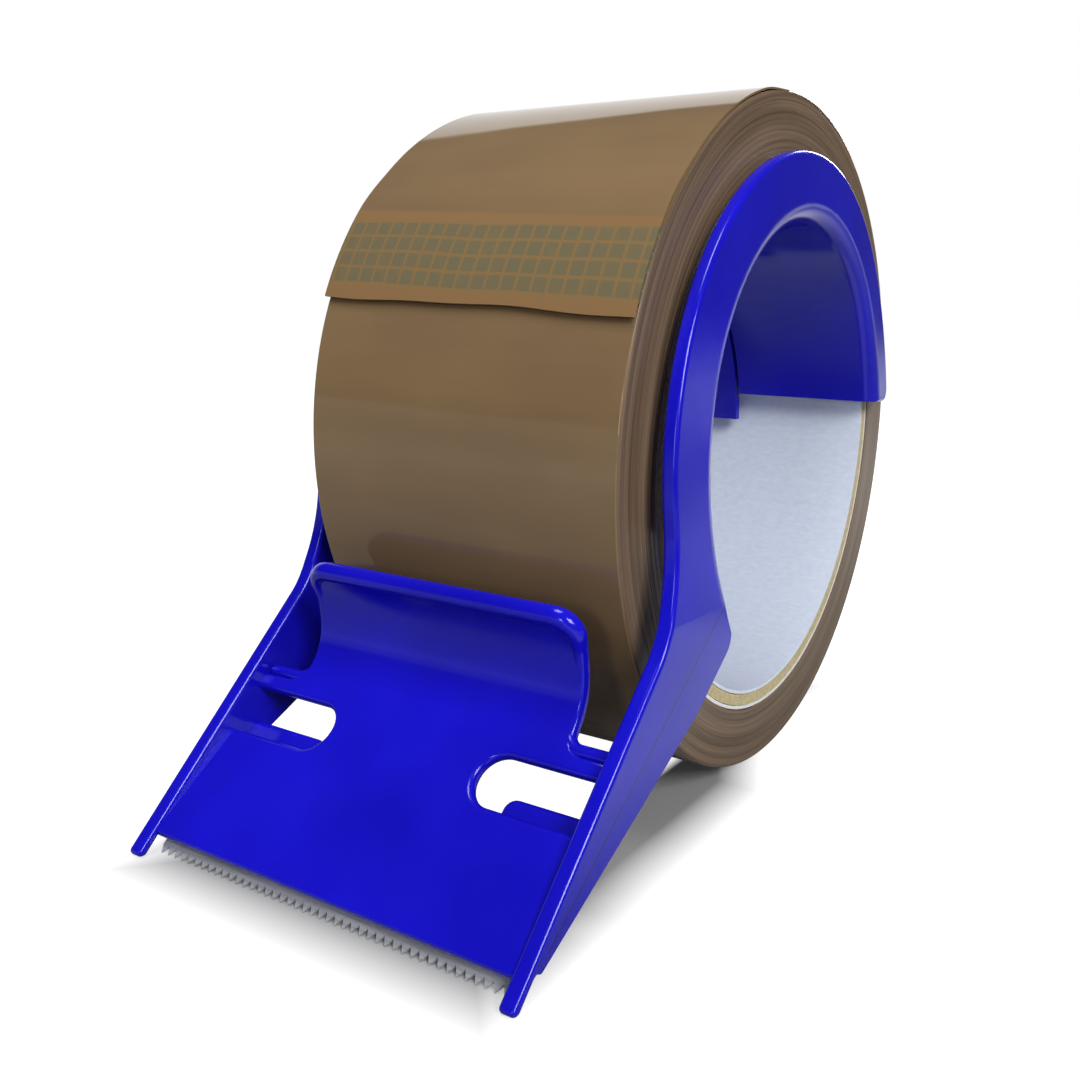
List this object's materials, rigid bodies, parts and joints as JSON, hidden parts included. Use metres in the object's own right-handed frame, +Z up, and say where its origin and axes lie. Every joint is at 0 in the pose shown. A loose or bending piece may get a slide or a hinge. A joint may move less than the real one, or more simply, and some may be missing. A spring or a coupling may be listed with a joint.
{
  "type": "hand tape dispenser",
  "caption": "Hand tape dispenser: a moulded frame whose hub shells sit in the roll's core, with a serrated blade under its front plate and a loaded roll of packing tape.",
  "frame": {"origin": "on the standing surface, under the middle of the whole", "axes": "+Z up; X along the roll's axis, +X to the user's right as they face the blade's side; -Y towards the blade"},
  "size_m": [0.0604, 0.1272, 0.1],
  "materials": {
    "frame": "glossy moulded plastic, deep blue",
    "blade": "bright rolled steel strip",
    "liner": "smooth bluish white paper",
    "board": "plain wound board",
    "wrap": "smooth white paper",
    "tape": "glossy brown film",
    "tab": "plain strip under the film, printed with a grid"
  },
  "bodies": {
    "holder": {"frame": "frame", "blade": "blade"},
    "roll": {"core_liner": "liner", "core_board": "board", "core_wrap": "wrap", "tape_winding": "tape", "starter_tab": "tab", "tape_end": "tape"}
  },
  "joints": [
    {"name": "roll_spin", "type": "hinge", "parent": "holder", "child": "roll", "pos_m": [0, 0.01359, 0.05], "axis": [1, 0, 0], "continuous": true}
  ]
}
